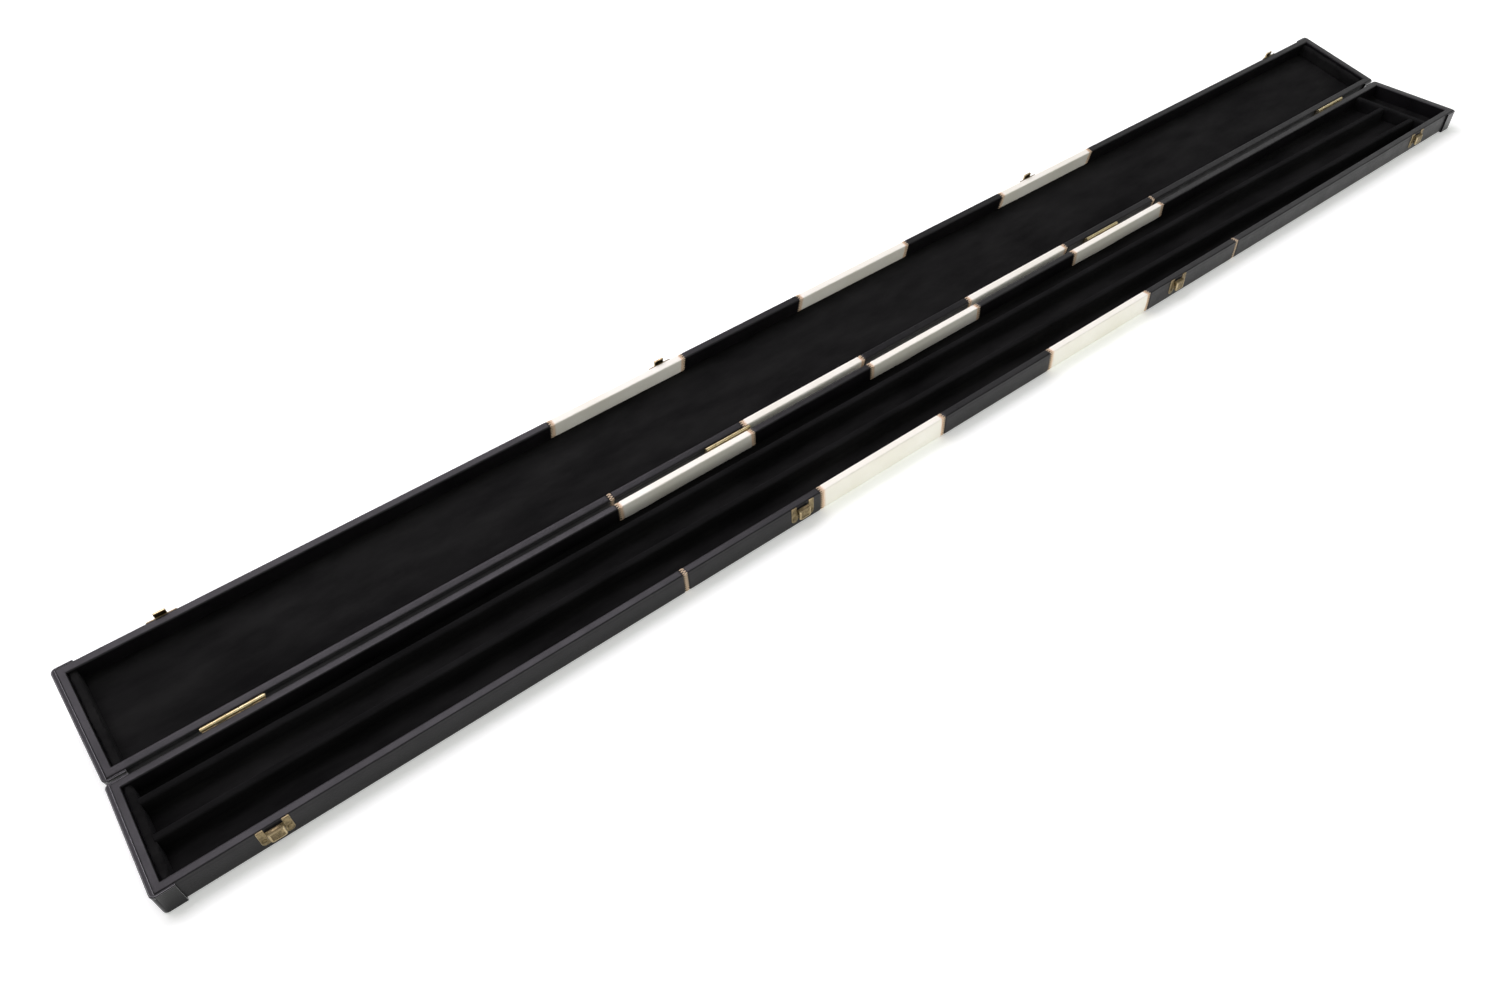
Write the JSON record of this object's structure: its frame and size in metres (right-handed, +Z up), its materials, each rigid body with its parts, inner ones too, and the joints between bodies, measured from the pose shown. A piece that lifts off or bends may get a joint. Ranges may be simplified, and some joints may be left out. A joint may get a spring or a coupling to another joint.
{
  "type": "cue case",
  "caption": "Long slim hinged case for snooker cues, open, with velvet-lined cue channels, an accessory bay, patchwork leather edges, moulded end caps and sprung latches.",
  "frame": {"origin": "bottom centre of the case as it lies open: on the floor, midway along the case and across both halves", "axes": "+X along the case towards the accessory bay, +Y from the latch side of the tray towards the open lid, +Z up"},
  "size_m": [1.5668, 0.219, 0.0506],
  "materials": {
    "black_leather": "satin",
    "cream_leather": "satin",
    "black_velvet": "matte",
    "flocked_wood": "matte",
    "wood_core": "matte",
    "cap_plastic": "gloss",
    "antique_brass": "satin",
    "pin_steel": "satin",
    "spring_steel": "satin"
  },
  "bodies": {
    "tray": {"tray_base_board": "wood_core", "tray_latch_side_wall": "wood_core", "tray_hinge_side_wall": "wood_core", "tray_left_end_wall": "wood_core", "tray_right_end_wall": "wood_core", "tray_left_end_cover": "black_leather", "tray_right_end_cover": "black_leather", "tray_broad_cover": "black_leather", "tray_left_cap": "cap_plastic", "tray_right_cap": "cap_plastic", "tray_latch_side_cover_left": "black_leather", "tray_latch_side_cover_right": "black_leather", "tray_latch_side_patches_black": "black_leather", "tray_latch_side_patches_cream": "cream_leather", "tray_hinge_side_cover_left": "black_leather", "tray_hinge_side_cover_right": "black_leather", "tray_hinge_side_patches_black": "black_leather", "tray_hinge_side_patches_cream": "cream_leather", "tray_floor_lining": "black_velvet", "tray_left_end_pad": "black_velvet", "back_channel_rib": "flocked_wood", "front_channel_rib": "flocked_wood", "accessory_bay_rail": "flocked_wood", "tray_hinge_leaves": "antique_brass", "hinge_pins": "pin_steel", "tray_hinge_screws": "antique_brass", "latch_plates": "antique_brass", "latch_plate_screws": "antique_brass", "latch_pins": "pin_steel", "latch_springs": "spring_steel"},
    "lid": {"lid_base_board": "wood_core", "lid_hinge_side_wall": "wood_core", "lid_latch_side_wall": "wood_core", "lid_left_end_wall": "wood_core", "lid_right_end_wall": "wood_core", "lid_left_end_cover": "black_leather", "lid_right_end_cover": "black_leather", "lid_broad_cover": "black_leather", "lid_left_cap": "cap_plastic", "lid_right_cap": "cap_plastic", "lid_hinge_side_cover_left": "black_leather", "lid_hinge_side_cover_right": "black_leather", "lid_hinge_side_patches_black": "black_leather", "lid_hinge_side_patches_cream": "cream_leather", "lid_latch_side_cover_left": "black_leather", "lid_latch_side_cover_right": "black_leather", "lid_latch_side_patches_black": "black_leather", "lid_latch_side_patches_cream": "cream_leather", "lid_lining_pad": "black_velvet", "lid_left_end_pad": "black_velvet", "lid_right_end_pad": "black_velvet", "lid_hinge_leaves": "antique_brass", "lid_hinge_screws": "antique_brass", "strike_plates": "antique_brass", "strike_screws": "antique_brass"},
    "lever_1": {"latch_lever_1": "antique_brass"},
    "lever_2": {"latch_lever_2": "antique_brass"},
    "lever_3": {"latch_lever_3": "antique_brass"},
    "lever_4": {"latch_lever_4": "antique_brass"}
  },
  "joints": [
    {"name": "lid_hinge", "type": "hinge", "parent": "tray", "child": "lid", "pos_m": [0, 0.00002, 0.02395], "axis": [1, 0, 0], "range_deg": [0, 167.7]},
    {"name": "latch_1_rock", "type": "hinge", "parent": "tray", "child": "lever_1", "pos_m": [-0.701, -0.10748, 0.015], "axis": [1, 0, 0], "range_deg": [0, 12], "stiffness_Nm_per_rad": 0.02},
    {"name": "latch_2_rock", "type": "hinge", "parent": "tray", "child": "lever_2", "pos_m": [-0.237, -0.10748, 0.015], "axis": [1, 0, 0], "range_deg": [0, 12], "stiffness_Nm_per_rad": 0.02},
    {"name": "latch_3_rock", "type": "hinge", "parent": "tray", "child": "lever_3", "pos_m": [0.26, -0.10748, 0.015], "axis": [1, 0, 0], "range_deg": [0, 12], "stiffness_Nm_per_rad": 0.02},
    {"name": "latch_4_rock", "type": "hinge", "parent": "tray", "child": "lever_4", "pos_m": [0.703, -0.10748, 0.015], "axis": [1, 0, 0], "range_deg": [0, 12], "stiffness_Nm_per_rad": 0.02}
  ]
}
